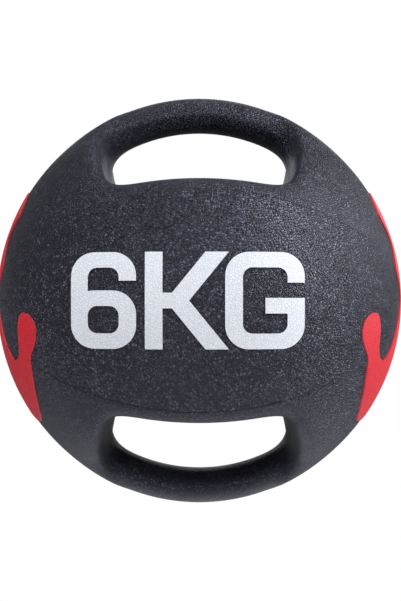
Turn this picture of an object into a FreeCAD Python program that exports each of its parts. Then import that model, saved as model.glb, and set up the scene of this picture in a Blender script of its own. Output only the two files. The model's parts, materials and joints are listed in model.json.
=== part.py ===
import FreeCAD, Part
import os

# Medicine ball with two grips. The origin is the ball's centre, +Z runs through both grips and the front
# face looks along -Y. Lengths are in millimetres and angles in degrees.

Vector = FreeCAD.Vector
Rotation = FreeCAD.Rotation

DIMENSIONS = {
    # Outer cover
    "ball_radius": 140.0,
    "cover_wall": 8.0,
    "floor_extra_wall": 2.0,
    "panel_rise": 0.3,
    "panel_edge_round": 0.6,
    "seam_arc_radius": 222.0,
    "seam_peak_height": 70.0,
    "panel_half_angle": 67.5,
    # Hand holes
    "hole_half_width": 63.0,
    "hole_floor_height": 78.0,
    "floor_crown_radius": 265.0,
    "hole_corner_radius": 14.0,
    "floor_rim_round": 12.0,
    "side_rim_round": 20.0,
    # Grips: an elliptical section swept round an arc whose centre is a little off the ball's
    "grip_arc_offset": 6.0,
    "grip_arc_radius": 123.35,
    "grip_half_depth": 23.0,
    "grip_half_thickness": 12.05,
    "grip_half_angle": 46.0,
    "core_radius": 5.0,
    "core_half_angle": 50.0,
    "core_anchor_radius": 8.0,
    # Layers inside the cover
    "ballast_wall": 8.0,
    "winding_wall": 1.0,
    "bladder_wall": 2.0,
    # Inflation valve, on a line from the ball's centre
    "valve_x": -23.2,
    "valve_y": -125.6,
    "valve_z": 57.3,
    "valve_flange_radius": 13.5,
    "valve_flange_depth": 3.0,
    "valve_rise": 0.3,
    "valve_stem_radius": 5.0,
    "valve_tail": 4.0,
    "needle_radius": 1.25,
    "needle_depth": 12.0,
    "slit_plug_radius": 3.0,
    "slit_plug_length": 8.0,
    # Raised marks: letters drawn flat on the XZ plane and carried straight onto the panel
    "mark_rise": 0.4,
    "letter_height": 60.4,
    "letter_stem": 11.0,
    "letter_bar": 9.7,
    "letter_corner": 15.0,
    "counter_corner": 6.0,
    "six_left": -80.8,
    "six_width": 41.8,
    "six_bowl_height": 36.5,
    "six_slot_height": 6.0,
    "kay_left": -33.6,
    "kay_arm_start": 12.9,
    "kay_arm_end": 37.5,
    "kay_arm_width": 14.5,
    "gee_left": 16.0,
    "gee_width": 50.0,
    "gee_slot_height": 9.5,
    "gee_tongue_left": 41.0,
    "splash_rise": 0.5,
    # How far the cutting shapes reach past the ball
    "reach": 170.0,
}

# Outline of a side splash as (y, z), from its top round the front and back by the rear.
SPLASH_OUTLINE = [
    (-14, 74), (-30, 70), (-39, 57), (-33, 40), (-38, 22), (-29, 6), (-36, -12), (-44, -30), (-56, -40),
    (-67, -34), (-72, -20), (-80, -8), (-89, -12), (-89, -25), (-79, -37), (-73, -48), (-66, -59),
    (-55, -72), (-36, -82), (-14, -78), (10, -86), (32, -77), (54, -66), (66, -48), (83, -38), (88, -20),
    (78, -12), (66, -26), (50, -30), (36, -14), (39, 4), (29, 18), (36, 34), (27, 50), (10, 58),
]
SPLASH_DROPS = [(14, 84, 5.0), (44, 30, 4.0), (58, -4, 3.0), (26, -98, 5.5)]


class Model:
    """The parametric document, with short ways to add bound shapes."""

    def __init__(self):
        self.doc = FreeCAD.newDocument("MedicineBall")
        self.sheet = self.doc.addObject("Spreadsheet::Sheet", "Dimensions")
        for row, (alias, value) in enumerate(DIMENSIONS.items(), start=1):
            self.sheet.set(f"A{row}", alias)
            self.sheet.set(f"B{row}", str(value))
            self.sheet.setAlias(f"B{row}", alias)
        self.doc.recompute()

    def value(self, alias):
        """A dimension's number."""
        return float(self.sheet.get(alias))

    def add(self, kind, name, **bound):
        """Add an object whose properties are bound to the sheet; __ in a name stands for a dot."""
        shape = self.doc.addObject(kind, name)
        for path, expression in bound.items():
            shape.setExpression(path.replace("__", "."), self.bind(expression))
        return shape

    def bind(self, expression):
        """Prefix every alias in an expression with the sheet's name."""
        words = []
        word = ""
        for character in expression + " ":
            if character.isalnum() or character == "_":
                word += character
                continue
            words.append(f"Dimensions.{word}" if word in DIMENSIONS else word)
            words.append(character)
            word = ""
        return "".join(words).strip()

    def sphere(self, name, radius, side_poles=False):
        """A sphere on the origin, its poles on the Z axis, or on the X axis to leave the rims clear."""
        ball = self.add("Part::Sphere", name, Radius=radius)
        if side_poles:
            ball.Placement.Rotation = Rotation(Vector(0, 1, 0), 90)
        return ball

    def cross_cylinder(self, name, radius, height):
        """A cylinder along Y through the whole ball, its centre line at a height."""
        roller = self.add("Part::Cylinder", name, Radius=radius, Height="2 * reach")
        roller.Placement.Rotation = Rotation(Vector(1, 0, 0), -90)
        roller.setExpression("Placement.Base.y", self.bind("-reach"))
        roller.setExpression("Placement.Base.z", self.bind(height))
        return roller

    def box(self, name, low, size):
        """A box from its low corner and its size, both as expressions."""
        block = self.add("Part::Box", name, Length=size[0], Width=size[1], Height=size[2])
        for axis, expression in zip("xyz", low):
            block.setExpression(f"Placement.Base.{axis}", self.bind(expression))
        return block

    def cut(self, name, base, tool):
        """Base less tool."""
        result = self.doc.addObject("Part::Cut", name)
        result.Base = base
        result.Tool = tool
        return result

    def several(self, kind, name, shapes):
        """A Part::MultiCommon or Part::MultiFuse of shapes."""
        result = self.doc.addObject(kind, name)
        result.Shapes = shapes
        return result

    def mirror(self, name, source, normal):
        """A mirror image through the origin."""
        result = self.doc.addObject("Part::Mirroring", name)
        result.Source = source
        result.Normal = normal
        return result

    def fillet(self, name, base, radius_of):
        """Round the edges of base for which radius_of gives a start and end radius."""
        self.doc.recompute()
        result = self.doc.addObject("Part::Fillet", name)
        result.Base = base
        chosen = []
        for index, edge in enumerate(base.Shape.Edges, start=1):
            radii = radius_of(edge)
            if radii:
                chosen.append((index, *radii))
        result.Edges = chosen
        self.doc.recompute()
        return result


def points_along(edge):
    """The two ends and the middle of an edge."""
    first, last = edge.FirstParameter, edge.LastParameter
    return [edge.valueAt(first + (last - first) * share) for share in (0.0, 0.5, 1.0)]


def hand_space(model):
    """The space over the floor of the upper hand hole, open at its top, front and rear."""
    block = model.box(
        "HandSpaceBlock",
        ("-hole_half_width", "-reach", "hole_floor_height / 2"),
        ("2 * hole_half_width", "2 * reach", "reach"),
    )
    crown = model.cross_cylinder("FloorCrown", "floor_crown_radius", "hole_floor_height - floor_crown_radius")
    space = model.cut("HandSpaceSharp", block, crown)
    side = model.value("hole_half_width")
    corner = model.value("hole_corner_radius")

    def corner_radius(edge):
        start, middle, end = points_along(edge)
        along_y = abs(start.x - end.x) < 1e-6 and abs(start.z - end.z) < 1e-6
        low = middle.z < model.value("ball_radius")
        on_side = abs(abs(middle.x) - side) < 1e-6
        return (corner, corner) if along_y and low and on_side else None

    return model.fillet("HandSpace", space, corner_radius)


def hollowed_ball(model, space):
    """The upper half of the ball with the hand space taken out and its mouth rounded."""
    ball = model.sphere("Ball", "ball_radius", side_poles=True)
    sharp = model.cut("HollowedBall", ball, space)
    radius = model.value("ball_radius")
    side = model.value("hole_half_width")
    side_round = model.value("side_rim_round")
    floor_round = model.value("floor_rim_round")

    def rim_radius(edge):
        points = points_along(edge)
        if any(abs(point.Length - radius) > 1e-3 for point in points) or points[1].z < 0:
            return None
        on_side = [abs(abs(point.x) - side) < 1e-3 for point in points]
        if all(abs(point.y) < 1e-3 for point in points):
            return None
        return (side_round if on_side[0] else floor_round, side_round if on_side[2] else floor_round)

    return model.fillet("RimmedBall", sharp, rim_radius)


def grip_arc(model, name, section, half_angle):
    """Sweep a section, drawn over the ball's top, round the grip's arc to both sides."""
    section.Placement.Rotation = Rotation(Vector(0, 1, 0), Vector(0, 0, 1), Vector(1, 0, 0), "XYZ")
    section.setExpression("Placement.Base.z", model.bind("grip_arc_offset + grip_arc_radius"))
    sweep = model.add("Part::Revolution", name, Angle=f"2 * {half_angle}")
    sweep.Source = section
    sweep.Axis = Vector(0, 1, 0)
    sweep.setExpression("Base.z", model.bind("grip_arc_offset"))
    sweep.Symmetric = True
    sweep.Solid = True
    return sweep


def grip(model):
    """The elliptical bar over the upper hand hole."""
    section = model.add("Part::Ellipse", "GripSection", MajorRadius="grip_half_depth",
                        MinorRadius="grip_half_thickness")
    return grip_arc(model, "GripBar", section, "grip_half_angle")


def grip_core(model):
    """The curved rod inside the upper grip, with a ball at each end that anchors it in the shoulder."""
    section = model.add("Part::Circle", "CoreSection", Radius="core_radius")
    rod = grip_arc(model, "CoreRod", section, "core_half_angle")
    across = "grip_arc_radius * sin(core_half_angle * 1 deg)"
    height = "grip_arc_offset + grip_arc_radius * cos(core_half_angle * 1 deg)"
    ends = []
    for side, sign in (("Left", "-"), ("Right", "")):
        anchor = model.add("Part::Sphere", f"CoreAnchor{side}", Radius="core_anchor_radius")
        anchor.setExpression("Placement.Base.x", model.bind(sign + across))
        anchor.setExpression("Placement.Base.z", model.bind(height))
        ends.append(anchor)
    return model.several("Part::MultiFuse", "upper_grip_core", [rod, *ends])


def layer_body(model, name, depth):
    """The solid that lies a depth under the cover's surface: a ball cut off by two crowned floors."""
    ball = model.sphere(f"{name}Ball", f"ball_radius - ({depth})")
    crown = f"floor_crown_radius - floor_extra_wall - ({depth})"
    roof = model.cross_cylinder(f"{name}Roof", crown, "hole_floor_height - floor_crown_radius")
    base = model.cross_cylinder(f"{name}Base", crown, "floor_crown_radius - hole_floor_height")
    return model.several("Part::MultiCommon", name, [ball, roof, base])


def panel_wedge(model):
    """The lens-shaped wedge from the ball's centre that bounds the front panel."""
    lower = model.cross_cylinder("SeamArcUpper", "seam_arc_radius", "seam_peak_height - seam_arc_radius")
    upper = model.cross_cylinder("SeamArcLower", "seam_arc_radius", "seam_arc_radius - seam_peak_height")
    sector = model.add("Part::Cylinder", "PanelSector", Radius="reach", Height="2 * reach",
                       Angle="2 * panel_half_angle")
    sector.Placement.Rotation = Rotation(Vector(0, 0, 1), -90 - model.value("panel_half_angle"))
    sector.setExpression("Placement.Base.z", model.bind("-reach"))
    return model.several("Part::MultiCommon", "PanelWedge", [lower, upper, sector])


def panel_shell(model, wedge):
    """The front cover panel, a little proud of the ball, with sharp edges."""
    outer = model.sphere("PanelBall", "ball_radius + panel_rise", side_poles=True)
    inner = model.sphere("PanelBackBall", "ball_radius - cover_wall", side_poles=True)
    block = model.several("Part::MultiCommon", "PanelBlock", [outer, wedge])
    return model.cut("PanelShell", block, inner)


def face_panel(model, shell):
    """The front cover panel with its outer edge rounded."""
    radius = model.value("ball_radius") + model.value("panel_rise")
    edge_round = model.value("panel_edge_round")

    def edge_radius(edge):
        on_surface = all(abs(point.Length - radius) < 1e-3 for point in points_along(edge))
        return (edge_round, edge_round) if on_surface and len(edge.Vertexes) == 2 else None

    return model.fillet("RoundedPanel", shell, edge_radius)


def on_valve_line(model, shape, distance):
    """Set a shape's Z axis along the valve's line, its base at a distance from the ball's centre."""
    line = Vector(model.value("valve_x"), model.value("valve_y"), model.value("valve_z")).normalize()
    shape.Placement.Rotation = Rotation(Vector(0, 0, 1), line)
    for axis, share in zip("xyz", line):
        shape.setExpression(f"Placement.Base.{axis}", model.bind(f"({distance}) * {share:.9f}"))
    return shape


def valve_rod(model, name, radius, low, high):
    """A rod along the valve's line between two distances from the ball's centre."""
    rod = model.add("Part::Cylinder", name, Radius=radius, Height=f"({high}) - ({low})")
    return on_valve_line(model, rod, low)


def letter_block(model, name, left, bottom, width, height, corner=None):
    """A bar through the front panel with a rectangular face, its corners rounded if corner is given."""
    block = model.box(name, (left, "-reach", bottom), (width, "reach / 2", height))
    if corner is None:
        return block
    radius = model.value(corner)

    def corner_radius(edge):
        along_y = abs(edge.Vertexes[0].Y - edge.Vertexes[-1].Y) > 1e-3
        return (radius, radius) if along_y else None

    return model.fillet(f"{name}Round", block, corner_radius)


def figure_six(model):
    """A plain bold six: a hook, which is a rounded ring without its lower right side, and a rounded bowl."""
    outer = letter_block(
        model, "SixOuter", "six_left", "-letter_height / 2", "six_width", "letter_height", "letter_corner"
    )
    inner = letter_block(
        model, "SixInner", "six_left + letter_stem", "letter_bar - letter_height / 2",
        "six_width - 2 * letter_stem", "letter_height - 2 * letter_bar", "counter_corner",
    )
    side = letter_block(
        model, "SixSide", "six_left + six_width / 2", "-letter_height",
        "six_width", "letter_height / 2 + six_bowl_height + six_slot_height",
    )
    hook = model.cut("SixHook", outer, model.several("Part::MultiFuse", "SixOpenings", [inner, side]))
    bowl = letter_block(
        model, "SixBowl", "six_left", "-letter_height / 2", "six_width", "six_bowl_height", "letter_corner"
    )
    counter = letter_block(
        model, "SixCounter", "six_left + letter_stem", "letter_bar - letter_height / 2",
        "six_width - 2 * letter_stem", "six_bowl_height - 2 * letter_bar", "counter_corner",
    )
    ring = model.cut("SixRing", bowl, counter)
    return model.several("Part::MultiFuse", "Six", [hook, ring])


def letter_kay(model):
    """A plain bold K: a stem, two slanting arms that meet at mid height, and the short bar that joins them."""
    stem = letter_block(
        model, "KayStem", "kay_left", "-letter_height / 2", "letter_stem", "letter_height"
    )
    bridge = letter_block(
        model, "KayBridge", "kay_left", "-letter_bar / 2", "kay_arm_start + kay_arm_width / 2", "letter_bar"
    )
    upper_arm = model.add(
        "Part::Wedge", "KayUpperArm",
        Xmin="kay_left + kay_arm_start", Xmax="kay_left + kay_arm_start + kay_arm_width",
        Ymin="0", Ymax="letter_height / 2", Zmin="reach / 2", Zmax="reach",
        X2min="kay_left + kay_arm_end", X2max="kay_left + kay_arm_end + kay_arm_width",
        Z2min="reach / 2", Z2max="reach",
    )
    upper_arm.Placement.Rotation = Rotation(Vector(1, 0, 0), 90)
    lower_arm = model.mirror("KayLowerArm", upper_arm, Vector(0, 0, 1))
    return model.several("Part::MultiFuse", "Kay", [stem, bridge, upper_arm, lower_arm])


def letter_gee(model):
    """A plain bold G: a rounded block less its counter and a slot, with a tongue left under the slot."""
    outer = letter_block(
        model, "GeeOuter", "gee_left", "-letter_height / 2", "gee_width", "letter_height", "letter_corner"
    )
    counter = letter_block(
        model, "GeeCounter", "gee_left + letter_stem", "letter_bar - letter_height / 2",
        "gee_width - 2 * letter_stem", "letter_height - 2 * letter_bar", "counter_corner",
    )
    slot = letter_block(
        model, "GeeSlot", "gee_left + gee_width / 2", "letter_bar / 6", "gee_width", "gee_slot_height"
    )
    ring = model.cut("GeeRing", outer, model.several("Part::MultiFuse", "GeeOpenings", [counter, slot]))
    tongue = letter_block(
        model, "GeeTongue", "gee_tongue_left", "letter_bar / 6 - letter_bar",
        "gee_left + gee_width - letter_stem / 2 - gee_tongue_left", "letter_bar",
    )
    return model.several("Part::MultiFuse", "Gee", [ring, tongue])


def weight_mark(model):
    """The raised weight value on the front panel, one solid for each character."""
    outer = model.sphere("MarkBall", "ball_radius + panel_rise + mark_rise")
    inner = model.sphere("MarkSeatBall", "ball_radius + panel_rise")
    skin = model.cut("MarkSkin", outer, inner)
    characters = []
    for character in (figure_six(model), letter_kay(model), letter_gee(model)):
        characters.append(
            model.several("Part::MultiCommon", f"{character.Name}Mark", [skin, character])
        )
    mark = model.doc.addObject("Part::Compound", "front_weight_mark")
    mark.Links = characters
    return mark


def colour_splash(model, shells):
    """The thin coloured patch on the ball's right side, laid over the cover and the edges of both panels."""
    spline = Part.BSplineCurve()
    spline.interpolate([Vector(0, y, z) for y, z in SPLASH_OUTLINE], PeriodicFlag=True)
    reach = Vector(model.value("reach"), 0, 0)
    blots = [Part.Face(Part.Wire([spline.toShape()])).extrude(reach)]
    for y, z, radius in SPLASH_DROPS:
        blots.append(Part.makeCylinder(radius, reach.x, Vector(0, y, z), Vector(1, 0, 0)))
    outline = model.doc.addObject("Part::Feature", "SplashOutline")
    outline.Shape = Part.makeCompound(blots)
    outer = model.sphere("SplashBall", "ball_radius + panel_rise + splash_rise")
    inner = model.sphere("SplashSeatBall", "ball_radius")
    skin = model.cut("SplashSkin", outer, inner)
    patch = model.several("Part::MultiCommon", "SplashPatch", [skin, outline])
    return model.cut("right_colour_splash", patch, model.several("Part::MultiFuse", "SplashPanels", shells))


def half_layer(model, name, outer, inner):
    """The front half of the layer between two nested bodies."""
    front = model.box(f"{name}Front", ("-reach", "-reach", "-reach"), ("2 * reach", "reach", "2 * reach"))
    whole = model.cut(f"{name}Whole", outer, inner)
    return model.several("Part::MultiCommon", name, [whole, front])


def build(model):
    """Build every sub-part; returns them keyed by node name."""
    doc = model.doc
    up, right, front = Vector(0, 0, 1), Vector(1, 0, 0), Vector(0, 1, 0)
    cover_depth = "cover_wall"
    ballast_depth = "cover_wall + ballast_wall"
    winding_depth = "cover_wall + ballast_wall + winding_wall"
    bladder_depth = "cover_wall + ballast_wall + winding_wall + bladder_wall"
    cavity = layer_body(model, "CoverCavity", cover_depth)
    ballast_cavity = layer_body(model, "BallastCavity", ballast_depth)
    winding_cavity = layer_body(model, "WindingCavity", winding_depth)
    bladder_cavity = layer_body(model, "BladderCavity", bladder_depth)

    # Covers: the upper half of the ball and its grip, less the cavity, the grip's core and both panels
    shell = panel_shell(model, panel_wedge(model))
    rear_shell = model.mirror("RearPanelShell", shell, front)
    core = grip_core(model)
    body = hollowed_ball(model, hand_space(model))
    whole = model.several("Part::MultiFuse", "GrippedBall", [body, grip(model)])
    upper_half = model.box("UpperHalf", ("-reach", "-reach", "0"), ("2 * reach", "2 * reach", "reach"))
    half = model.several("Part::MultiCommon", "UpperBody", [whole, upper_half])
    spaces = model.several("Part::MultiFuse", "UpperSpaces", [cavity, shell, rear_shell])
    cover = model.cut("upper_handle_cover", model.cut("UpperShell", half, spaces), core)
    panel = face_panel(model, shell)

    # Valve: its flange is let into the front panel and its stem runs to the bladder
    flange = valve_rod(model, "ValveFlange", "valve_flange_radius", "ball_radius - valve_flange_depth",
                       "ball_radius + valve_flange_depth")
    stem = valve_rod(model, "ValveStem", "valve_stem_radius", f"ball_radius - ({bladder_depth}) - valve_tail",
                     "ball_radius + valve_flange_depth")
    valve_space = model.several("Part::MultiFuse", "ValveSpace", [flange, stem])
    valve_ball = model.sphere("ValveBall", "ball_radius + panel_rise + valve_rise")
    needle_bore = valve_rod(model, "NeedleBore", "needle_radius", "ball_radius - needle_depth",
                            "ball_radius + valve_flange_depth")
    plug = valve_rod(model, "valve_core", "slit_plug_radius",
                     "ball_radius - needle_depth - slit_plug_length", "ball_radius - needle_depth")
    valve_blank = model.several("Part::MultiCommon", "ValveBlank", [valve_space, valve_ball])
    valve_openings = model.several("Part::MultiFuse", "ValveOpenings", [needle_bore, plug])

    ballast = half_layer(model, "FrontBallast", cavity, ballast_cavity)
    winding = model.cut("WindingBlank", ballast_cavity, winding_cavity)
    bladder = model.cut("BladderBlank", winding_cavity, bladder_cavity)
    rear_panel = model.mirror("rear_face_cover", panel, front)
    splash = colour_splash(model, [shell, rear_shell])
    mark = weight_mark(model)
    doc.recompute()
    return {
        "front_face_cover": model.cut("front_face_cover", panel, valve_space),
        "rear_face_cover": rear_panel,
        "upper_handle_cover": cover,
        "lower_handle_cover": model.mirror("lower_handle_cover", cover, up),
        "upper_grip_core": core,
        "lower_grip_core": model.mirror("lower_grip_core", core, up),
        "front_ballast_shell": model.cut("front_ballast_shell", ballast, valve_space),
        "rear_ballast_shell": model.mirror("rear_ballast_shell", ballast, front),
        "nylon_winding": model.cut("nylon_winding", winding, valve_space),
        "inner_bladder": model.cut("inner_bladder", bladder, valve_space),
        "valve_body": model.cut("valve_body", valve_blank, valve_openings),
        "valve_core": plug,
        "front_weight_mark": mark,
        "rear_weight_mark": model.mirror("rear_weight_mark", model.mirror("TurnedMark", mark, right), front),
        "right_colour_splash": splash,
        "left_colour_splash": model.mirror("left_colour_splash", splash, right),
    }


def check(doc, nodes):
    """Stop if any object failed or any sub-part is empty or invalid."""
    for item in doc.Objects:
        if "Invalid" in item.State or "Error" in item.State:
            raise RuntimeError(f"{item.Name} failed to build: {item.State}")
    for name, item in nodes.items():
        if item.Shape.isNull() or not item.Shape.isValid() or not item.Shape.Solids:
            raise RuntimeError(f"{name} has no valid solid")


def main():
    """Build the ball, check it and write one STEP file for each sub-part."""
    model = Model()
    nodes = build(model)
    model.doc.recompute()
    check(model.doc, nodes)
    os.makedirs("parts", exist_ok=True)
    for name, item in nodes.items():
        item.Label = name
        item.Shape.exportStep(f"parts/{name}.step")
        print(f"{name}: {len(item.Shape.Solids)} solids, {item.Shape.Volume / 1000:.1f} cm3")


main()
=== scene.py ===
import json
import logging
import math
from dataclasses import dataclass, field, replace
from enum import Enum

import bmesh
import bpy
import numpy as np
from mathutils import Matrix, Vector


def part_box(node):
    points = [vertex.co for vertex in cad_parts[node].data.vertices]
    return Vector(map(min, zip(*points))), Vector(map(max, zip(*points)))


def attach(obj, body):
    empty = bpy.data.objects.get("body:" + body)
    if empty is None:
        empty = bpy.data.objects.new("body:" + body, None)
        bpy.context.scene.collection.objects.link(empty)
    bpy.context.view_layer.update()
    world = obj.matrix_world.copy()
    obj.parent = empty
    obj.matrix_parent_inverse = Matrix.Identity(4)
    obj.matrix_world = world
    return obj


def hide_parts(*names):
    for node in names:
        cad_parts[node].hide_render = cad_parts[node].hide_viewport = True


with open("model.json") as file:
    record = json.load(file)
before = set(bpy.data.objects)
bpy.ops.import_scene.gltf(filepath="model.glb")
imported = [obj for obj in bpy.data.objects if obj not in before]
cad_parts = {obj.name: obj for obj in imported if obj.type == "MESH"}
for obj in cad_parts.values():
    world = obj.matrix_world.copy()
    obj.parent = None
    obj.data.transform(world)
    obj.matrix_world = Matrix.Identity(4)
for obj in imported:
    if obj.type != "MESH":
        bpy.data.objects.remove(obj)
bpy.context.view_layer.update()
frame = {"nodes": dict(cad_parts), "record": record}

# A double-grip rubber medicine ball. Lengths are in metres, the origin is the ball's centre, +Z runs
# through both grips and the front face looks along -Y.

BODY = "root"
MM = 0.001
# Anything shorter than this counts as no length at all
TINY = 1e-7
# Sockets of the Mix node when it mixes colours
MIX_FIRST, MIX_SECOND, MIX_RESULT = 6, 7, 2
LOG = logging.getLogger("medicine_ball")


class Cover(Enum):
    """The moulded covers that make up the outside of the ball."""

    FRONT = "front_rubber_panel"
    REAR = "rear_rubber_panel"
    UPPER = "upper_handle_moulding"
    LOWER = "lower_handle_moulding"


CAD_NODE = {
    Cover.FRONT: "front_face_cover",
    Cover.REAR: "rear_face_cover",
    Cover.UPPER: "upper_handle_cover",
    Cover.LOWER: "lower_handle_cover",
}


def linear(hex_colour: str) -> tuple[float, float, float, float]:
    """Turn an sRGB hex colour into linear values.

    Args:
        hex_colour: Six hex digits, such as "3D3D45".

    Returns:
        Red, green, blue and an alpha of 1.
    """
    parts = [int(hex_colour[start:start + 2], 16) / 255 for start in (0, 2, 4)]
    return (*(part / 12.92 if part <= 0.04045 else ((part + 0.055) / 1.055) ** 2.4 for part in parts), 1.0)


def add_node(tree: bpy.types.NodeTree, kind: str, links: dict | None = None, values: dict | None = None,
             **settings: object) -> bpy.types.Node:
    """Add a shader node with its settings, socket values and links.

    Args:
        tree: The material's node tree.
        kind: The node's type.
        links: Input socket name or index to the output socket that feeds it.
        values: Input socket name or index to its own value.
        settings: The node's properties.

    Returns:
        The new node.
    """
    made = tree.nodes.new(kind)
    for name, value in settings.items():
        setattr(made, name, value)
    for socket, value in (values or {}).items():
        made.inputs[socket].default_value = value
    for socket, source in (links or {}).items():
        tree.links.new(source, made.inputs[socket])
    return made


def empty_material(name: str) -> bpy.types.Material:
    """A material whose node tree holds nothing yet."""
    material = bpy.data.materials.new(name)
    material.use_nodes = True
    material.node_tree.nodes.clear()
    return material


def finish_surface(tree: bpy.types.NodeTree, links: dict, values: dict) -> None:
    """Close a material's tree with its shader and output.

    Args:
        tree: The material's node tree.
        links: The shader's linked sockets.
        values: The shader's own values.
    """
    shader = add_node(tree, "ShaderNodeBsdfPrincipled", links, values)
    add_node(tree, "ShaderNodeOutputMaterial", {"Surface": shader.outputs["BSDF"]})


@dataclass(frozen=True)
class LeatherGrain:
    """The pebbled grain that the mould leaves: rounded cells of uneven size with narrow creases between."""

    pebble: float = 1.6 * MM
    waver: float = 0.5 * MM
    # Share of each cell taken by the creases, where the bump dips and the materials paint shade
    shaded_crease: float = 0.28
    grit: float = 0.45 * MM
    grit_share: float = 0.3
    wander_pebbles: float = 2.0
    # Range of each pebble's random value over which its painted highlight comes in
    painted_glint_from: float = 0.5
    painted_glint_full: float = 0.8

    def lay(self, tree: bpy.types.NodeTree) -> dict[str, bpy.types.NodeSocket]:
        """Add the grain's nodes.

        Args:
            tree: The material's node tree.

        Returns:
            "pebbles" is 0 in the creases and 1 on top, "height" has fine grit as well, and the third is a
            random value for each pebble that paints a highlight on some of them, because no two lean the same
            way.
        """
        place = add_node(tree, "ShaderNodeTexCoord").outputs["Object"]
        wander = add_node(tree, "ShaderNodeTexNoise", {"Vector": place},
                          {"Scale": 1 / (self.wander_pebbles * self.pebble), "Detail": 2.0})
        wavered = add_node(tree, "ShaderNodeVectorMath", {0: wander.outputs["Color"], 2: place},
                           {1: (self.waver, self.waver, self.waver)}, operation="MULTIPLY_ADD")
        cells = add_node(tree, "ShaderNodeTexVoronoi", {"Vector": wavered.outputs["Vector"]},
                         {"Scale": 1 / self.pebble}, feature="DISTANCE_TO_EDGE")
        each = add_node(tree, "ShaderNodeTexVoronoi", {"Vector": wavered.outputs["Vector"]},
                        {"Scale": 1 / self.pebble}, feature="F1")
        # Painted highlight: a random value for each pebble that lightens some pebbles as if they caught the
        # light
        painted_glint = add_node(tree, "ShaderNodeMapRange", {"Value": each.outputs["Color"]},
                         {"From Min": self.painted_glint_from, "From Max": self.painted_glint_full},
                         interpolation_type="SMOOTHSTEP")
        pebbles = add_node(tree, "ShaderNodeMapRange", {"Value": cells.outputs["Distance"]},
                           {"From Min": 0.0, "From Max": self.shaded_crease}, interpolation_type="SMOOTHSTEP")
        grit = add_node(tree, "ShaderNodeTexNoise", {"Vector": place},
                        {"Scale": 1 / self.grit, "Detail": 3.0, "Roughness": 0.6})
        height = add_node(tree, "ShaderNodeMath", {0: grit.outputs["Fac"], 2: pebbles.outputs["Result"]},
                          {1: self.grit_share}, operation="MULTIPLY_ADD")
        return {"pebbles": pebbles.outputs["Result"], "height": height.outputs["Value"],
                "painted_glint": painted_glint.outputs["Result"]}


@dataclass(frozen=True)
class MouldedRubber:
    """Natural rubber filled with carbon black and hot-moulded in an etched tool.

    It gives a near-black with a faint blue cast and a broad soft sheen that the grain breaks into specks.
    Painted highlights lighten random pebbles, more of them in random patches, and painted shade darkens the
    creases.
    """

    name: str
    body: str
    painted_highlight: str
    shaded_crease: str
    roughness: float
    grain: LeatherGrain
    depth: float
    patch: float = 38 * MM
    rubber_ior: float = 1.52
    # Share of the painted pebble highlights kept where the random patches are weakest
    least_painted_highlight: float = 0.5
    sheen_tint: str = "EBEDFF"
    # The random patches' range over which the painted pebble highlights grow
    highlight_patch_low: float = 0.38
    highlight_patch_high: float = 0.68
    sheen_from: float = 0.3
    sheen_to: float = 0.7
    smoothest: float = -0.06
    roughest: float = 0.08

    def dress(self) -> bpy.types.Material:
        """Make the material."""
        material = empty_material(self.name)
        tree = material.node_tree
        place = add_node(tree, "ShaderNodeTexCoord").outputs["Object"]
        grain = self.grain.lay(tree)
        patches = add_node(tree, "ShaderNodeTexNoise", {"Vector": place},
                           {"Scale": 1 / self.patch, "Detail": 6.0, "Roughness": 0.62})
        # Random patches that set how many pebbles get a painted highlight
        highlight_amount = add_node(tree, "ShaderNodeMapRange", {"Value": patches.outputs["Fac"]},
                         {"From Min": self.highlight_patch_low, "From Max": self.highlight_patch_high,
                          "To Min": self.least_painted_highlight},
                         interpolation_type="SMOOTHSTEP")
        # Painted highlight: random pebbles, more of them in random patches, turn towards the pale highlight
        # colour
        share = add_node(tree, "ShaderNodeMath", {0: highlight_amount.outputs["Result"], 1: grain["painted_glint"]},
                         operation="MULTIPLY")
        tint = add_node(tree, "ShaderNodeMix", {0: share.outputs["Value"]},
                        {MIX_FIRST: linear(self.body), MIX_SECOND: linear(self.painted_highlight)}, data_type="RGBA")
        # Painted shade: the creases take the dark crease colour
        colour = add_node(tree, "ShaderNodeMix", {0: grain["pebbles"], MIX_SECOND: tint.outputs[MIX_RESULT]},
                          {MIX_FIRST: linear(self.shaded_crease)}, data_type="RGBA")
        sheen = add_node(tree, "ShaderNodeMapRange", {"Value": patches.outputs["Fac"]},
                         {"From Min": self.sheen_from, "From Max": self.sheen_to,
                          "To Min": self.roughness + self.smoothest,
                          "To Max": self.roughness + self.roughest})
        bump = add_node(tree, "ShaderNodeBump", {"Height": grain["height"]},
                        {"Distance": self.depth, "Strength": 1.0})
        finish_surface(
            tree,
            {"Base Color": colour.outputs[MIX_RESULT], "Roughness": sheen.outputs["Result"],
             "Normal": bump.outputs["Normal"]},
            {"IOR": self.rubber_ior, "Specular Tint": linear(self.sheen_tint)},
        )
        return material


@dataclass(frozen=True)
class RubberInk:
    """Flexible ink screen-printed on the grained rubber.

    It gives an even matt colour that fills the grain a little, and painted shade lets the creases show as
    slightly darker specks.
    """

    name: str
    colour: str
    shaded_crease: str
    grain: LeatherGrain
    depth: float
    roughness: float = 0.55
    ink_ior: float = 1.48

    def dress(self) -> bpy.types.Material:
        """Make the material."""
        material = empty_material(self.name)
        tree = material.node_tree
        grain = self.grain.lay(tree)
        # Painted shade: the creases take the slightly darker crease colour
        colour = add_node(tree, "ShaderNodeMix", {0: grain["pebbles"]},
                          {MIX_FIRST: linear(self.shaded_crease), MIX_SECOND: linear(self.colour)}, data_type="RGBA")
        bump = add_node(tree, "ShaderNodeBump", {"Height": grain["height"]},
                        {"Distance": self.depth, "Strength": 1.0})
        finish_surface(
            tree,
            {"Base Color": colour.outputs[MIX_RESULT], "Normal": bump.outputs["Normal"]},
            {"IOR": self.ink_ior, "Roughness": self.roughness},
        )
        return material


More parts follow.
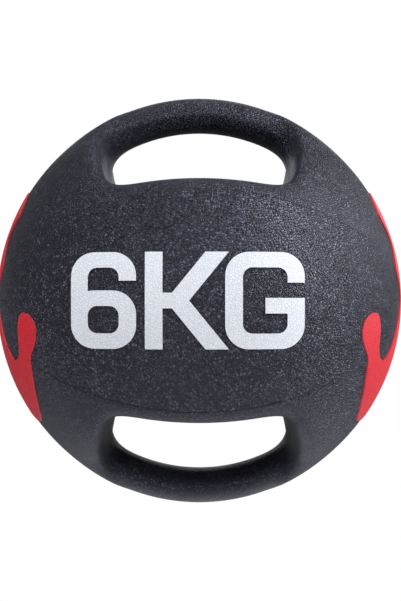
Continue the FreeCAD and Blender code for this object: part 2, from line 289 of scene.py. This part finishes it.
@dataclass(frozen=True)
class InnerLayer:
    """A layer inside the ball: one colour, mottled, with a surface of its own coarseness."""

    name: str
    dark: str
    light: str
    lump: float
    depth: float
    roughness: float

    def dress(self) -> bpy.types.Material:
        """Make the material."""
        material = empty_material(self.name)
        tree = material.node_tree
        place = add_node(tree, "ShaderNodeTexCoord").outputs["Object"]
        lumps = add_node(tree, "ShaderNodeTexNoise", {"Vector": place},
                         {"Scale": 1 / self.lump, "Detail": 4.0})
        colour = add_node(tree, "ShaderNodeMix", {0: lumps.outputs["Fac"]},
                          {MIX_FIRST: linear(self.dark), MIX_SECOND: linear(self.light)}, data_type="RGBA")
        bump = add_node(tree, "ShaderNodeBump", {"Height": lumps.outputs["Fac"]},
                        {"Distance": self.depth, "Strength": 1.0})
        finish_surface(
            tree,
            {"Base Color": colour.outputs[MIX_RESULT], "Normal": bump.outputs["Normal"]},
            {"Roughness": self.roughness},
        )
        return material


@dataclass(frozen=True)
class WoundThread:
    """Nylon thread wound round the bladder and dipped in latex: pale strands side by side, in two layers."""

    name: str = "wound_nylon_thread"
    thread: float = 1.2 * MM
    dark: str = "8C8468"
    light: str = "DCD4B4"
    depth: float = 0.3 * MM
    roughness: float = 0.6

    def dress(self) -> bpy.types.Material:
        """Make the material."""
        material = empty_material(self.name)
        tree = material.node_tree
        place = add_node(tree, "ShaderNodeTexCoord").outputs["Object"]
        # A band every thread width: the Wave node makes 20 / (2 pi) bands for each unit of its scale
        bands = 2 * math.pi / 20
        strands = add_node(tree, "ShaderNodeTexWave", {"Vector": place},
                           {"Scale": bands / self.thread, "Distortion": 1.5, "Detail": 1.0},
                           bands_direction="Z")
        colour = add_node(tree, "ShaderNodeMix", {0: strands.outputs["Fac"]},
                          {MIX_FIRST: linear(self.dark), MIX_SECOND: linear(self.light)}, data_type="RGBA")
        bump = add_node(tree, "ShaderNodeBump", {"Height": strands.outputs["Fac"]},
                        {"Distance": self.depth, "Strength": 1.0})
        finish_surface(
            tree,
            {"Base Color": colour.outputs[MIX_RESULT], "Normal": bump.outputs["Normal"]},
            {"Roughness": self.roughness},
        )
        return material


def soft_least(first: np.ndarray, second: np.ndarray, width: np.ndarray | float) -> np.ndarray:
    """The lesser of two distances, rounded off where they differ by less than a width.

    Args:
        first: One distance for each point.
        second: The other distance.
        width: How far the rounding reaches.

    Returns:
        The blended distance.
    """
    width = np.maximum(width, TINY)
    share = np.clip(width - np.abs(first - second), 0, None) / width
    # The cubic blend meets both distances smoothly and is deepest, a sixth of the width, where they are equal
    return np.minimum(first, second) - share ** 3 * width / 6


def soft_most(first: np.ndarray, second: np.ndarray, width: np.ndarray | float) -> np.ndarray:
    """The greater of two distances, rounded off in the same way."""
    return -soft_least(-first, -second, width)


def ramp(values: np.ndarray, low: float, high: float) -> np.ndarray:
    """Rise smoothly from 0 at low to 1 at high."""
    share = np.clip((values - low) / (high - low), 0, 1)
    return share * share * (3 - 2 * share)


@dataclass(frozen=True)
class BallForm:
    """The ball's outer form with its hand holes and grips, as one smooth distance field."""

    radius: float
    grip_middle: float
    hole_floor: float = 78 * MM
    floor_crown: float = 265 * MM
    hole_half_width: float = 63 * MM
    hole_corner: float = 30 * MM
    grip_offset: float = 6 * MM
    grip_half_depth: float = 23 * MM
    grip_half_thickness: float = 12.05 * MM
    join_blend: float = 20 * MM
    floor_rim_blend: float = 12 * MM
    side_rim_blend: float = 30 * MM
    side_rim_height: float = 100 * MM
    rim_from_depth: float = 14 * MM
    rim_full_depth: float = 44 * MM
    crest_rise: float = 1.5 * MM
    crest_from_height: float = 100 * MM
    crest_full_height: float = 150 * MM
    step: float = 0.02 * MM
    longest_move: float = 4 * MM
    least_slope_squared: float = 0.05

    def distance(self, points: np.ndarray) -> np.ndarray:
        """Distance of points outside the surface, negative inside.

        Args:
            points: Rows of x, y and z.

        Returns:
            One distance for each row.
        """
        x, y, z = np.abs(points[:, 0]), np.abs(points[:, 1]), np.abs(points[:, 2])
        floor = np.hypot(x, z + self.floor_crown - self.hole_floor) - self.floor_crown
        solid = soft_least(floor, self.hole_half_width - x, self.hole_corner)
        arc_radius = self.grip_middle - self.grip_offset
        up = (np.hypot(x, z - self.grip_offset) - arc_radius) / self.grip_half_thickness
        across = y / self.grip_half_depth
        ratio = np.hypot(up, across)
        slope = np.hypot(up / self.grip_half_thickness, across / self.grip_half_depth)
        bar = ratio * (ratio - 1) / np.maximum(slope, TINY)
        solid = soft_least(solid, bar, self.join_blend)
        reach = np.sqrt(x * x + y * y + z * z)
        crest = self.crest_rise * ramp(z, self.crest_from_height, self.crest_full_height)
        outside = reach - self.radius - crest
        side_share = ramp(z, self.hole_floor, self.side_rim_height)
        rim = self.floor_rim_blend + (self.side_rim_blend - self.floor_rim_blend) * side_share
        off_crest = ramp(y, self.rim_from_depth, self.rim_full_depth)
        return soft_most(solid, outside, rim * off_crest)

    def settle(self, bm: bmesh.types.BMesh, rounds: int) -> None:
        """Move a mesh's vertices straight onto the surface.

        Args:
            bm: A mesh whose vertices lie near the surface.
            rounds: How many times each vertex is moved.
        """
        points = np.array([vert.co for vert in bm.verts])
        for _ in range(rounds):
            slope = np.empty_like(points)
            for axis in range(3):
                shift = np.zeros(3)
                shift[axis] = self.step
                slope[:, axis] = self.distance(points + shift) - self.distance(points - shift)
            slope /= 2 * self.step
            steepness = np.maximum((slope ** 2).sum(1), self.least_slope_squared)
            gap = np.clip(self.distance(points), -self.longest_move, self.longest_move)
            points = points - slope * (gap / steepness)[:, None]
        for vert, place in zip(bm.verts, points):
            vert.co = place


def scratch_object(name: str, bm: bmesh.types.BMesh) -> bpy.types.Object:
    """An object from a bmesh, which is freed."""
    mesh = bpy.data.meshes.new(name)
    bm.to_mesh(mesh)
    bm.free()
    made = bpy.data.objects.new(name, mesh)
    bpy.context.scene.collection.objects.link(made)
    return made


def applied(piece: bpy.types.Object) -> bpy.types.Mesh:
    """The mesh of a piece with its modifiers applied."""
    bpy.context.view_layer.update()
    return bpy.data.meshes.new_from_object(piece.evaluated_get(bpy.context.evaluated_depsgraph_get()))


@dataclass
class Skin:
    """The whole outer surface as one even mesh of quads, from which the covers are cut."""

    form: BallForm
    voxel: float = 2.2 * MM
    relax_rounds: int = 14
    settle_rounds: int = 4
    closest: float = 0.4 * MM
    ball_subdivisions: int = 5
    space_sink: float = 3 * MM
    grip_half_angle: float = math.radians(52)
    grip_segments: int = 32
    grip_steps: int = 48

    def rough_ball(self) -> bpy.types.Object:
        """The plain ball that the hand holes are cut from."""
        bm = bmesh.new()
        bmesh.ops.create_icosphere(bm, subdivisions=self.ball_subdivisions, radius=self.form.radius)
        return scratch_object("rough_ball", bm)

    def rough_space(self, sign: int) -> bpy.types.Object:
        """The block of space over one hand hole's floor."""
        bm = bmesh.new()
        height = self.form.radius
        right_through = 3 * self.form.radius
        size = (2 * self.form.hole_half_width, right_through, height)
        middle = (0, 0, sign * (self.form.hole_floor - self.space_sink + height / 2))
        bmesh.ops.create_cube(bm, size=1, matrix=Matrix.Translation(middle) @ Matrix.Diagonal((*size, 1)))
        return scratch_object("rough_space", bm)

    def rough_grip(self, sign: int) -> bpy.types.Object:
        """One grip's bar: an ellipse spun through an arc whose ends are buried in the ball."""
        form = self.form
        bm = bmesh.new()
        bmesh.ops.create_circle(bm, cap_ends=True, segments=self.grip_segments, radius=1)
        place = Matrix(((0, 0, 1, 0), (form.grip_half_depth, 0, 0, 0),
                        (0, form.grip_half_thickness, 0, sign * form.grip_middle), (0, 0, 0, 1)))
        bmesh.ops.transform(bm, matrix=place, verts=bm.verts)
        middle = Vector((0, 0, sign * form.grip_offset))
        start = Matrix.Rotation(-self.grip_half_angle, 3, "Y")
        bmesh.ops.rotate(bm, cent=middle, matrix=start, verts=bm.verts)
        bmesh.ops.spin(bm, geom=bm.faces[:] + bm.edges[:] + bm.verts[:], cent=middle, axis=(0, 1, 0),
                       angle=2 * self.grip_half_angle, steps=self.grip_steps)
        bmesh.ops.recalc_face_normals(bm, faces=bm.faces)
        return scratch_object("rough_grip", bm)

    def build(self) -> bmesh.types.BMesh:
        """Join the rough shapes, remesh them evenly and settle the result on the form.

        Returns:
            The closed skin.
        """
        ball = self.rough_ball()
        scratch = [ball]
        for sign in (1, -1):
            for tool, operation in ((self.rough_space(sign), "DIFFERENCE"), (self.rough_grip(sign), "UNION")):
                joint = ball.modifiers.new(tool.name, "BOOLEAN")
                joint.operation, joint.solver, joint.object = operation, "EXACT", tool
                scratch.append(tool)
        even = ball.modifiers.new("even", "REMESH")
        even.mode, even.voxel_size = "VOXEL", self.voxel
        mesh = applied(ball)
        bm = bmesh.new()
        bm.from_mesh(mesh)
        bpy.data.meshes.remove(mesh)
        for item in scratch:
            bpy.data.objects.remove(item)
        for _ in range(self.relax_rounds):
            bmesh.ops.smooth_vert(bm, verts=bm.verts, factor=0.5, use_axis_x=True, use_axis_y=True,
                                  use_axis_z=True)
            self.form.settle(bm, rounds=1)
        self.form.settle(bm, rounds=self.settle_rounds)
        bmesh.ops.remove_doubles(bm, verts=bm.verts, dist=self.closest)
        bmesh.ops.recalc_face_normals(bm, faces=bm.faces)
        return bm


@dataclass
class Covers:
    """The four rubber covers: two lens-shaped panels and two halves that carry the grips."""

    form: BallForm
    panel_rise: float
    seam_peak: float
    seam_arc_radius: float = 222 * MM
    panel_half_angle: float = math.radians(67.5)
    snap: float = 1.0 * MM
    closest: float = 0.4 * MM
    seam_round: float = 0.6 * MM
    seam_segments: int = 3
    seam_margin: float = 4 * MM
    walls: dict[Cover, float] = field(default_factory=lambda: {
        Cover.FRONT: 8 * MM, Cover.REAR: 8 * MM, Cover.UPPER: 5 * MM, Cover.LOWER: 5 * MM})

    def seam_height(self, x: float) -> float:
        """Height of the upper seam over the ball's middle at a distance from its centre line."""
        return self.seam_peak - self.seam_arc_radius + math.sqrt(self.seam_arc_radius ** 2 - x ** 2)

    def owner(self, place: Vector) -> Cover:
        """The cover that a place on the skin belongs to."""
        in_lens = abs(place.z) < self.seam_height(place.x)
        if in_lens and abs(place.x) < abs(place.y) * math.tan(self.panel_half_angle):
            return Cover.FRONT if place.y < 0 else Cover.REAR
        return Cover.UPPER if place.z > 0 else Cover.LOWER

    def score(self, bm: bmesh.types.BMesh, faces: list[bmesh.types.BMFace], normal: Vector,
              height: float) -> None:
        """Cut faces along a plane, after moving close vertices onto it so that no slivers are left.

        Args:
            bm: The skin.
            faces: The faces to cut.
            normal: The plane's normal, of length 1.
            height: The plane's distance from the origin.
        """
        verts = list({vert for face in faces for vert in face.verts})
        edges = list({edge for face in faces for edge in face.edges})
        for vert in verts:
            gap = vert.co.dot(normal) - height
            if abs(gap) < self.snap:
                vert.co -= normal * gap
        bmesh.ops.bisect_plane(bm, geom=faces + edges + verts, dist=TINY, plane_co=normal * height,
                               plane_no=normal)

    def stretch(self, bm: bmesh.types.BMesh, to_plane: bool) -> None:
        """Scale heights so that both curved seams become flat planes, or back again."""
        for vert in bm.verts:
            scale = self.seam_peak / self.seam_height(vert.co.x)
            vert.co.z *= scale if to_plane else 1 / scale

    def score_seams(self, skin: bmesh.types.BMesh) -> None:
        """Cut the skin along every seam: the panels' ends, the parting line at each side and the arcs."""
        for sign in (1, -1):
            band = []
            for face in skin.faces:
                middle = face.calc_center_median()
                if abs(middle.z) < self.seam_height(middle.x) + self.seam_margin:
                    band.append(face)
            end = Vector((math.cos(self.panel_half_angle), sign * math.sin(self.panel_half_angle), 0))
            self.score(skin, band, end, 0.0)
        sides = [face for face in skin.faces if abs(face.calc_center_median().z) < self.seam_margin
                 and self.owner(face.calc_center_median()) in (Cover.UPPER, Cover.LOWER)]
        self.score(skin, sides, Vector((0, 0, 1)), 0.0)
        self.stretch(skin, to_plane=True)
        for sign in (1, -1):
            self.score(skin, skin.faces[:], Vector((0, 0, 1)), sign * self.seam_peak)
        self.stretch(skin, to_plane=False)
        self.form.settle(skin, rounds=2)
        bmesh.ops.remove_doubles(skin, verts=skin.verts, dist=self.closest)

    def cut_out(self, skin: bmesh.types.BMesh, cover: Cover) -> bmesh.types.BMesh:
        """Take one cover out of the skin, give it its wall and round its edges at the seams.

        Args:
            skin: The scored skin.
            cover: Which cover to take.

        Returns:
            The cover as a closed wall.
        """
        bm = skin.copy()
        others = [face for face in bm.faces if self.owner(face.calc_center_median()) is not cover]
        bmesh.ops.delete(bm, geom=others, context="FACES")
        if cover in (Cover.FRONT, Cover.REAR):
            rise = 1 + self.panel_rise / self.form.radius
            bmesh.ops.scale(bm, vec=(rise, rise, rise), verts=bm.verts)
        rim = [edge for edge in bm.edges if edge.is_boundary]
        bmesh.ops.solidify(bm, geom=bm.faces[:], thickness=self.walls[cover])
        bmesh.ops.bevel(bm, geom=rim, offset=self.seam_round, offset_type="OFFSET", affect="EDGES",
                        segments=self.seam_segments, profile=0.5, material=-1, clamp_overlap=False)
        return bm

    def build(self, skin: bmesh.types.BMesh, coarse: bpy.types.Material, fine: bpy.types.Material) -> None:
        """Make all four covers from the skin, which is freed.

        Args:
            skin: The whole outer surface.
            coarse: The panels' rubber.
            fine: The grip covers' rubber.
        """
        self.score_seams(skin)
        for cover in Cover:
            piece = scratch_object(cover.value, self.cut_out(skin, cover))
            piece.data.polygons.foreach_set("use_smooth", [True] * len(piece.data.polygons))
            is_panel = cover in (Cover.FRONT, Cover.REAR)
            piece.data.materials.append(coarse if is_panel else fine)
            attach(piece, BODY)
            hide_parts(CAD_NODE[cover])
            LOG.info("%s: %d faces", piece.name, len(piece.data.polygons))
        skin.free()


@dataclass
class CadNodes:
    """The pieces whose shape comes straight from the frame: prints, valve and everything inside."""

    dressings: dict[str, bpy.types.Material]

    def dress(self) -> None:
        """Give each node its material."""
        for name, material in self.dressings.items():
            mesh = frame["nodes"][name].data
            mesh.materials.clear()
            mesh.materials.append(material)
            LOG.info("%s: %s", name, material.name)


@dataclass
class Softbox:
    """A square studio light that points at the ball."""

    name: str
    place: tuple[float, float, float]
    size: float
    power: float
    colour: str = "F4F6FF"

    def build(self) -> None:
        """Add the light."""
        data = bpy.data.lights.new(self.name, "AREA")
        data.size = self.size
        data.energy = self.power
        data.color = linear(self.colour)[:3]
        lamp = bpy.data.objects.new(self.name, data)
        lamp.location = self.place
        lamp.rotation_euler = (-Vector(self.place)).to_track_quat("-Z", "Y").to_euler()
        bpy.context.scene.collection.objects.link(lamp)


@dataclass
class Studio:
    """The camera, the pale floor, the white surroundings and the soft lights."""

    camera_distance: float = 1.12
    lens_mm: float = 95.5
    shift: float = 0.0022
    floor_drop: float = 0.49
    floor_radius: float = 1.15
    floor_fade_share: float = 0.45
    floor_colour: str = "DADADA"
    floor_roughness: float = 0.9
    surround: float = 0.16
    lights: tuple[Softbox, ...] = (
        Softbox("key_right", (1.25, -0.75, 0.65), 0.9, 24),
        Softbox("rim_right", (1.4, 0.3, 0.7), 0.8, 31),
        Softbox("fill_left", (-0.8, -1.5, 0.5), 0.9, 16),
        Softbox("top_left", (-0.9, -0.35, 1.3), 0.7, 19),
        Softbox("rear_fill", (0.0, 1.7, 0.4), 0.9, 3),
    )

    def camera(self) -> None:
        """Set up the camera, level with the ball's centre and square to its front."""
        data = bpy.data.cameras.new("camera")
        data.lens = self.lens_mm
        data.shift_x = self.shift
        camera = bpy.data.objects.new("camera", data)
        camera.location = (0, -self.camera_distance, 0)
        camera.rotation_euler = (math.radians(90), 0, 0)
        bpy.context.scene.collection.objects.link(camera)
        bpy.context.scene.camera = camera

    def floor(self) -> None:
        """Lay a round pale floor that fades out at its edge."""
        bm = bmesh.new()
        bmesh.ops.create_circle(bm, cap_ends=True, segments=96, radius=self.floor_radius,
                                matrix=Matrix.Translation((0, 0, -self.floor_drop)))
        floor = scratch_object("floor", bm)
        material = empty_material("pale_matt_floor")
        tree = material.node_tree
        place = add_node(tree, "ShaderNodeTexCoord").outputs["Object"]
        flat = add_node(tree, "ShaderNodeVectorMath", {0: place}, {1: (1, 1, 0)}, operation="MULTIPLY")
        radius = add_node(tree, "ShaderNodeVectorMath", {0: flat.outputs["Vector"]}, operation="LENGTH")
        fade = add_node(tree, "ShaderNodeMapRange", {"Value": radius.outputs["Value"]},
                        {"From Min": self.floor_fade_share * self.floor_radius, "From Max": self.floor_radius,
                         "To Min": 1.0, "To Max": 0.0}, interpolation_type="SMOOTHSTEP")
        finish_surface(tree, {"Alpha": fade.outputs["Result"]},
                       {"Base Color": linear(self.floor_colour), "Roughness": self.floor_roughness})
        floor.data.materials.append(material)

    def world(self) -> None:
        """Surround the ball with white that lights it less than it shows."""
        world = bpy.data.worlds.new("white_surround")
        world.use_nodes = True
        tree = world.node_tree
        tree.nodes.clear()
        seen = add_node(tree, "ShaderNodeLightPath").outputs["Is Camera Ray"]
        strength = add_node(tree, "ShaderNodeMapRange", {"Value": seen},
                            {"To Min": self.surround, "To Max": 1.0})
        back = add_node(tree, "ShaderNodeBackground", {"Strength": strength.outputs["Result"]},
                        {"Color": (1, 1, 1, 1)})
        add_node(tree, "ShaderNodeOutputWorld", {"Surface": back.outputs["Background"]})
        bpy.context.scene.world = world

    def build(self) -> None:
        """Set up everything round the ball."""
        self.camera()
        self.floor()
        self.world()
        for light in self.lights:
            light.build()
        bpy.context.scene.view_settings.view_transform = "Standard"


PANEL_GRAIN = LeatherGrain()
GRIP_GRAIN = LeatherGrain(pebble=1.25 * MM, waver=0.4 * MM, grit=0.4 * MM)

# In each rubber the third colour paints highlights on random pebbles; in each rubber and ink the last colour
# paints shade in the creases
PANEL_RUBBER = MouldedRubber("moulded_black_rubber_coarse", body="08080E", painted_highlight="5E5E72", shaded_crease="020204",
                             roughness=0.42, grain=PANEL_GRAIN, depth=1.1 * MM)
GRIP_RUBBER = MouldedRubber("moulded_black_rubber_fine", body="0E0E16", painted_highlight="525262", shaded_crease="030305",
                            roughness=0.4, grain=GRIP_GRAIN, depth=0.7 * MM)
VALVE_RUBBER = replace(PANEL_RUBBER, name="moulded_valve_rubber")
WHITE_INK = RubberInk("white_screen_print_ink", colour="DCDDDD", shaded_crease="C6C9CC", grain=PANEL_GRAIN,
                      depth=0.1 * MM)
RED_INK = RubberInk("red_screen_print_ink", colour="D81C29", shaded_crease="A81723", grain=GRIP_GRAIN,
                    depth=0.1 * MM)


def inner_dressings() -> dict[str, bpy.types.Material]:
    """Materials of the nodes that the covers hide."""
    nylon = InnerLayer("moulded_natural_nylon", dark="BDB9AC", light="CBC7BB",
                       lump=0.8 * MM, depth=0.03 * MM, roughness=0.5).dress()
    ballast = InnerLayer("pressed_ballast_rubber", dark="161616", light="2B2A28",
                         lump=3 * MM, depth=0.4 * MM, roughness=0.85).dress()
    bladder = InnerLayer("butyl_bladder_rubber", dark="1C1B1A", light="282624",
                         lump=12 * MM, depth=0.05 * MM, roughness=0.45).dress()
    return {
        "upper_grip_core": nylon,
        "lower_grip_core": nylon,
        "front_ballast_shell": ballast,
        "rear_ballast_shell": ballast,
        "nylon_winding": WoundThread().dress(),
        "inner_bladder": bladder,
    }


def main() -> None:
    """Build the studio and the ball, piece by piece."""
    logging.basicConfig(level=logging.INFO)
    Studio().build()
    _, cover_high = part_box("upper_handle_cover")
    panel_low, panel_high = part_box("front_face_cover")
    grip = next(mount for mount in frame["record"]["mounts"] if mount["name"] == "upper_grip")
    form = BallForm(radius=cover_high.x, grip_middle=grip["pos_m"][2])
    covers = Covers(form, panel_rise=-panel_low.y - form.radius, seam_peak=panel_high.z)
    covers.build(Skin(form).build(), PANEL_RUBBER.dress(), GRIP_RUBBER.dress())
    valve, white, red = VALVE_RUBBER.dress(), WHITE_INK.dress(), RED_INK.dress()
    CadNodes({
        "front_weight_mark": white,
        "rear_weight_mark": white,
        "right_colour_splash": red,
        "left_colour_splash": red,
        "valve_body": valve,
        "valve_core": valve,
        **inner_dressings(),
    }).dress()


if __name__ == "__main__":
    main()
